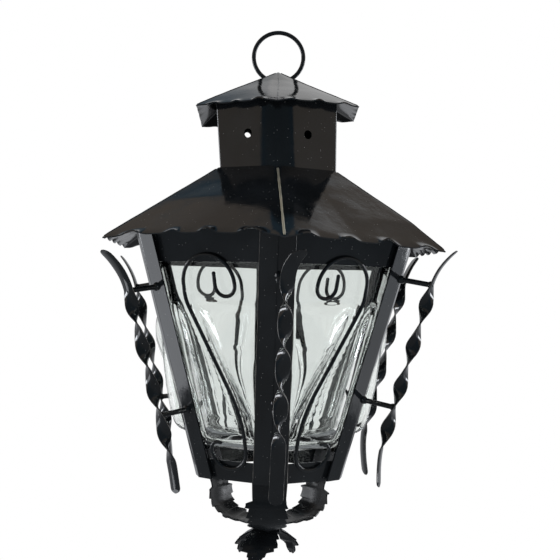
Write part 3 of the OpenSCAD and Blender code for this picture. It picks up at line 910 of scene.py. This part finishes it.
# The leaf strap's path down from the cage, under it and out again: (distance from the axis, height)
LEAF_PATH = [
    (54.6, -329), (51.3, -340), (47.8, -347.5), (45.2, -354), (44.7, -358), (44.4, -363),
    (43.2, -369.5), (40.5, -373.4), (36, -376.8), (30, -379.4), (24, -381), (17, -382),
    (10, -382.6), (7.2, -383.4), (6.4, -385.2), (8.5, -387.6), (13.5, -390.4), (19, -394.6),
    (22.4, -399.6), (24.4, -405), (25.2, -408.6),
]
# Its edges: [place in the path, half width]
LEAF_TAIL = [
    [12, 11], [13, 10], [14, 10], [15, 10.5], [16, 12],
    [17, 13.6], [18, 13], [18.2, 7.4], [19, 6], [20, 2.6],
]
TOOTHED = [
    [0, 13.5], [1, 13.4], [2.0, 13.0], [3.4, 12.6], [3.9, 12.4], [4.3, 19.5], [5.3, 18.0],
    [6.4, 17.6], [7.2, 16.4], [8.3, 16], [8.7, 18.8], [9.6, 15], [10.6, 13.6], *LEAF_TAIL,
]
ONE_TOOTH = [
    [0, 13.5], [3.4, 12.6], [3.9, 12.4], [4.3, 17.7],
    [5.3, 16.4], [7.2, 15.4], [9.6, 14], [10.6, 13], *LEAF_TAIL,
]
PLAIN = [[0, 13.5], [3.4, 12.6], [5.3, 13.8], [7.2, 13.4], [9.6, 12.8], [10.6, 12.2], *LEAF_TAIL]
NARROW = [
    [0, 13.5], [3.4, 11.6], [3.9, 11.2], [4.3, 15.5],
    [6.4, 14], [8.3, 12.6], [8.7, 15], [10.6, 11.6], *LEAF_TAIL,
]
# Each leaf's left and right edge, looking at its corner, and how far its tip stands to the side
LEAF_EDGES = [(ONE_TOOTH, PLAIN), (TOOTHED, TOOTHED), (TOOTHED, NARROW)]
LEAF_SWAY = [-11, 2, -3]
# Where the strap turns out as a leaf, how high its crease stands, and how ragged its edges are
LEAF_FOLD = 14
LEAF_CREASE = 3.0
LEAF_RAGGED = 0.2


class LANTERN_OT_leaves(bpy.types.Operator):
    """Leaf straps: creased strip from the foot of the cage in under it, turned out as toothed leaves"""

    bl_idname = "lantern.leaves"
    bl_label = "Foot leaves"

    def section(self, i, t, thick):
        """A strap's section at place t in its path: its outside, then its inside back again."""
        last = len(LEAF_PATH) - 1
        path_r = [[j, p[0]] for j, p in enumerate(LEAF_PATH)]
        path_z = [[j, p[1]] for j, p in enumerate(LEAF_PATH)]
        r, z = smooth_line(path_r, t), smooth_line(path_z, t)
        before, after = max(0, t - 0.08), min(last, t + 0.08)
        ahead = Vector((
            smooth_line(path_r, after) - smooth_line(path_r, before),
            smooth_line(path_z, after) - smooth_line(path_z, before),
        )).normalized()
        out = Vector((-ahead[1], ahead[0]))
        crease = LEAF_CREASE * min(1, 0.3 + abs(t - LEAF_FOLD) / 6, 0.25 + (last - t) / 3)
        sway = LEAF_SWAY[i] * max(0, t - LEAF_FOLD) / (last - LEAF_FOLD)
        outer, inner = [], []
        for share in (-1, -0.55, 0, 0.55, 1):
            lift = crease * (1 - abs(share))
            saw = (t * 0.8 + 0.3 * i) % 1 - 0.6
            ragged = 1 + LEAF_RAGGED * min(1, max(0, t - 4)) * abs(share) * saw
            x = share * line(LEAF_EDGES[i][share > 0], t) * ragged + sway
            outer.append(Vector((x, -(r + lift * out[0]), z + lift * out[1])))
            low = lift - thick
            inner.append(Vector((x, -(r + low * out[0]), z + low * out[1])))
        return outer + inner[::-1]

    def execute(self, context):
        thick = context.scene.lantern_sheet.strip / MM
        dull = named("dull black paint on leaves", paint, 0.2, (1, 1, 1), 0.2)
        steps = 190
        for i, corner in enumerate(LEAVES):
            loops = []
            for k in range(steps + 1):
                t = (len(LEAF_PATH) - 1) * k / steps
                loops.append([turned(p, 120 * i) for p in self.section(i, t, thick)])
            bm = bmesh.new()
            loft(bm, loops)
            bracket = ["leaf_bracket_" + corner]
            finished("leaf_strap_" + corner, bm, "lantern", dull, bracket, sharp=30)
        return {"FINISHED"}


# Half the size of a weld lump on a post and on a ribbon, in X, Y and Z
POST_LUMP = (2.8, 2.2, 3.1)
RIBBON_LUMP = (2.5, 1.2, 2.6)


class LANTERN_OT_welds(bpy.types.Operator):
    """Weld lumps where the studs meet the posts and the ribbons"""

    bl_idname = "lantern.welds"
    bl_label = "Welds"

    def execute(self, context):
        sizes = context.scene.lantern_ribbon
        bm = bmesh.new()
        for i in range(SIDES):
            side = STUD_SIDE[i]
            reach = sizes.gap / MM + RIBBON_OUT[i]
            for stud in (sizes.stud_low / MM, sizes.stud_high / MM):
                s = stud + RIBBON_RISE[i]
                back, fall = side * math.tan(FLANGE_BACK), reach * math.tan(STUD_FALL)
                on_post = Vector((side, back - 0.6, s - fall))
                on_ribbon = Vector((side, 1.1 - reach, s))
                blob(bm, up_post(i) @ on_post, POST_LUMP, i + s * 0.1)
                blob(bm, up_post(i) @ on_ribbon, RIBBON_LUMP, i - s * 0.1)
        finished("stud_welds", bm, "lantern", weld_paint(), sharp=70)
        return {"FINISHED"}


class LANTERN_OT_kept_nodes(bpy.types.Operator):
    """Paint and metal on the frame's own nodes that stay in sight"""

    bl_idname = "lantern.kept_nodes"
    bl_label = "Frame finishes"

    def execute(self, context):
        steel = named("zinc plated steel", metal, (0.55, 0.56, 0.58), 0.32, (1, 1, 6))
        brass = named("turned brass", metal, (0.75, 0.55, 0.27), 0.24, (1, 1, 8))
        finish = {"lamp_holder": porcelain()}
        finish |= dict.fromkeys(("hanging_ring", "ribbon_studs"), strip_paint())
        finish |= dict.fromkeys(("roof_screws", "lamp_strap"), steel)
        finish |= dict.fromkeys(("lamp_nipple", "lamp_nuts", "lamp_screw_shell", "lamp_contact"), brass)
        finish["glass"] = None
        for name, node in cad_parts.items():
            of_strip = name.startswith(("scroll", "top_r", "bottom"))
            material = finish.get(name, strip_paint() if of_strip else sheet_paint())
            if material:
                node.data.materials.clear()
                node.data.materials.append(material)
        return {"FINISHED"}


# ---- stage ----

# Where the camera stands, in millimetres, its pitch, roll and yaw in degrees, and its lens
CAMERA_BACK = 843.82
CAMERA_RIGHT = 5.384
CAMERA_Z = -192.8
CAMERA_TURN = (-0.8691, 1.4062, 1.7850)
CAMERA_LENS = 69.2
# Colour of the lamps, and the lamps themselves in metres and watts: name, place, size, power
DAYLIGHT = (0.92, 0.95, 1.0)
LAMPS = (
    ("Left low softbox", (-1.12, 0.1, -0.61), (0.36, 0.36), 1.0),
    ("Right low softbox", (1.12, 0.1, -0.61), (0.36, 0.36), 0.34),
    ("Left side softbox", (-1.28, 0.24, -0.2), (0.34, 0.7), 7.5),
    ("Right side softbox", (1.28, 0.24, -0.2), (0.34, 0.7), 7.5),
)
LAMP_AIM = (0, 0, -0.2)
# The floor's level and radius in metres
FLOOR_Z = -0.60
FLOOR_R = 0.45
# The room that gloss shows: dark to the front, brown at the sides and overhead, grey underneath, and
# light grey behind, darker in its lower part
ROOM_DARK = (0.05, 0.1, 0.145)
ROOM_WALLS = (0.47, 0.41, 0.35)
ROOM_CEILING = (0.3, 0.255, 0.215)
ROOM_FRONT = (0.08, 0.11, 0.13)
ROOM_LOW = (0.19, 0.2, 0.21)
ROOM_BACK = (0.85, 0.85, 0.85)
ROOM_PALE = (0.42, 0.43, 0.45)


class Sky(Nodes):
    """A world's nodes; place is the direction looked in."""

    def __init__(self, world):
        world.use_nodes = True
        self.tree = world.node_tree
        self.shader = self.tree.nodes["Background"]
        self.place = self.add("ShaderNodeTexCoord").outputs["Generated"]

    def maths(self, operation, a, b=0.0, c=0.0):
        """The result of a sum, each term a number or an output."""
        node = self.add("ShaderNodeMath", operation=operation)
        for value, socket in zip((a, b, c), node.inputs):
            if isinstance(value, bpy.types.NodeSocket):
                self.join(value, socket)
            else:
                socket.default_value = value
        return node.outputs[0]

    def room(self):
        """The room's colour in each direction."""
        where = self.add("ShaderNodeSeparateXYZ")
        self.join(self.place, where.inputs[0])
        x, y, z = (where.outputs[k] for k in range(3))
        ragged = self.maths("MULTIPLY_ADD", self.noise(9, 3), 0.16, -0.08)
        aside = self.maths("ABSOLUTE", self.maths("SUBTRACT", x, 0.02))
        beside = self.maths("MULTIPLY_ADD", z, 0.75, aside)
        spread = self.maths("ADD", beside, ragged)
        walls = self.mix(self.ramp(z, 0.3, 0.7, 0, 1), ROOM_WALLS, ROOM_CEILING)
        level = self.mix(self.ramp(spread, 0.81, 0.86, 0, 1), ROOM_DARK, walls)
        level = self.mix(self.ramp(y, -0.7, -0.84, 0, 1), level, ROOM_FRONT)
        level = self.mix(self.ramp(z, -0.2, -0.42, 0, 1), level, ROOM_LOW)
        to_left, high = self.ramp(x, -0.04, -0.17, 0, 0.86), self.ramp(z, 0.45, 0.55, 0, 1)
        lit = self.maths("SUBTRACT", 1.0, self.maths("MULTIPLY", to_left, high))
        rear = self.ramp(self.maths("MULTIPLY_ADD", x, 0.1, y), 0.63, 0.68, 0, 1)
        behind = self.maths("MULTIPLY", rear, lit)
        low = self.maths("MULTIPLY", self.ramp(y, 0.16, 0.3, 0, 1), self.ramp(z, 0.4, 0.25, 0, 1))
        return self.mix(low, self.mix(behind, level, ROOM_BACK), ROOM_PALE)


class LANTERN_OT_stage(bpy.types.Operator):
    """Camera, pale floor and backdrop, and plain soft lamps"""

    bl_idname = "lantern.stage"
    bl_label = "Stage"

    def add_lamp(self, name, spot, size, power):
        data = bpy.data.lights.new(name, "AREA")
        data.shape = "RECTANGLE"
        data.size, data.size_y = size
        data.energy = power
        data.color = DAYLIGHT
        lamp = bpy.data.objects.new(name, data)
        bpy.context.scene.collection.objects.link(lamp)
        lamp.location = spot
        lamp.rotation_euler = (Vector(LAMP_AIM) - Vector(spot)).to_track_quat("-Z", "Y").to_euler()

    def add_camera(self, scene):
        """The camera, placed as if the lantern were turned a little in front of it."""
        pitch, roll, yaw = (math.radians(v) for v in CAMERA_TURN)
        turn = Matrix.Rotation(roll, 3, "Y") @ Matrix.Rotation(pitch, 3, "X") @ Matrix.Rotation(yaw, 3, "Z")
        back = turn.transposed()
        camera = bpy.data.objects.new("Camera", bpy.data.cameras.new("Camera"))
        scene.collection.objects.link(camera)
        scene.camera = camera
        camera.data.lens = CAMERA_LENS
        camera.data.clip_start = 0.02
        place = back @ Vector((CAMERA_RIGHT, -CAMERA_BACK, 0)) + Vector((0, 0, CAMERA_Z))
        axes = back @ Matrix(((1, 0, 0), (0, 0, -1), (0, 1, 0)))
        camera.matrix_world = Matrix.Translation(place * MM) @ axes.to_4x4()

    def add_sky(self, scene, backdrop, fill):
        """The backdrop where it is seen, also through glass; the room in gloss; else an even light."""
        world = bpy.data.worlds.new("Studio")
        scene.world = world
        sky = Sky(world)
        seen = sky.add("ShaderNodeLightPath").outputs
        plain = tuple(fill * c for c in backdrop)
        colour = sky.mix(seen["Is Glossy Ray"], plain, sky.room())
        colour = sky.mix(seen["Is Transmission Ray"], colour, backdrop)
        colour = sky.mix(seen["Is Camera Ray"], colour, backdrop)
        sky.join(colour, sky.shader.inputs["Color"])

    def add_floor(self, scene, backdrop):
        """A floor of the backdrop's colour that glows almost to match it, and less in gloss."""
        bm = bmesh.new()
        bmesh.ops.create_circle(bm, cap_ends=True, segments=96, radius=FLOOR_R)
        mesh = bpy.data.meshes.new("floor")
        bm.to_mesh(mesh)
        bm.free()
        mesh.transform(Matrix.Translation((0, 0, FLOOR_Z)))
        floor = bpy.data.objects.new("floor", mesh)
        scene.collection.objects.link(floor)
        n = Nodes("pale floor")
        glow = n.add("ShaderNodeEmission")
        mirrored = n.add("ShaderNodeLightPath").outputs["Is Glossy Ray"]
        n.join(n.mix(mirrored, backdrop, ROOM_LOW), glow.inputs["Color"])
        both = n.add("ShaderNodeMixShader")
        n.join(n.ramp(mirrored, 0, 1, 0.86, 1.0), both.inputs[0])
        n.join(n.shader.outputs[0], both.inputs[1])
        n.join(glow.outputs[0], both.inputs[2])
        n.join(both.outputs[0], n.tree.nodes["Material Output"].inputs["Surface"])
        set_shader(n, Base_Color=(*backdrop, 1), Roughness=0.9)
        mesh.materials.append(n.material)

    def execute(self, context):
        scene = context.scene
        looks = scene.lantern_stage
        backdrop = tuple(looks.backdrop)
        self.add_camera(scene)
        self.add_sky(scene, backdrop, looks.fill)
        self.add_floor(scene, backdrop)
        for name, spot, size, power in LAMPS:
            self.add_lamp(name, spot, size, power)
        scene.view_settings.view_transform = "Standard"
        return {"FINISHED"}


# ---- add-on ----


class LANTERN_PT_panel(bpy.types.Panel):
    """The lantern's operators and sizes"""

    bl_idname = "LANTERN_PT_panel"
    bl_label = "Hanging Lantern"
    bl_space_type = "VIEW_3D"
    bl_region_type = "UI"
    bl_category = "Lantern"

    def draw(self, context):
        for step in STEPS:
            self.layout.operator(step.bl_idname)
        for group in GROUPS:
            settings = getattr(context.scene, group)
            for name in settings.__annotations__:
                self.layout.prop(settings, name)


GROUPS = {
    "lantern_sheet": LanternSheetSizes,
    "lantern_ribbon": LanternRibbonSizes,
    "lantern_glass": LanternGlassSizes,
    "lantern_paint": LanternPaint,
    "lantern_stage": LanternStage,
}
STEPS = [
    LANTERN_OT_stage,
    LANTERN_OT_kept_nodes,
    LANTERN_OT_roofs,
    LANTERN_OT_chimney,
    LANTERN_OT_ridges,
    LANTERN_OT_posts,
    LANTERN_OT_ribbons,
    LANTERN_OT_welds,
    LANTERN_OT_jar,
    LANTERN_OT_leaves,
]
CLASSES = [*GROUPS.values(), *STEPS, LANTERN_PT_panel]


def register():
    for cls in CLASSES:
        bpy.utils.register_class(cls)
    for name, cls in GROUPS.items():
        setattr(bpy.types.Scene, name, PointerProperty(type=cls))


def unregister():
    for name in GROUPS:
        delattr(bpy.types.Scene, name)
    for cls in reversed(CLASSES):
        bpy.utils.unregister_class(cls)


def main():
    register()
    for step in STEPS:
        group, name = step.bl_idname.split(".")
        getattr(getattr(bpy.ops, group), name)()


if __name__ == "__main__":
    main()
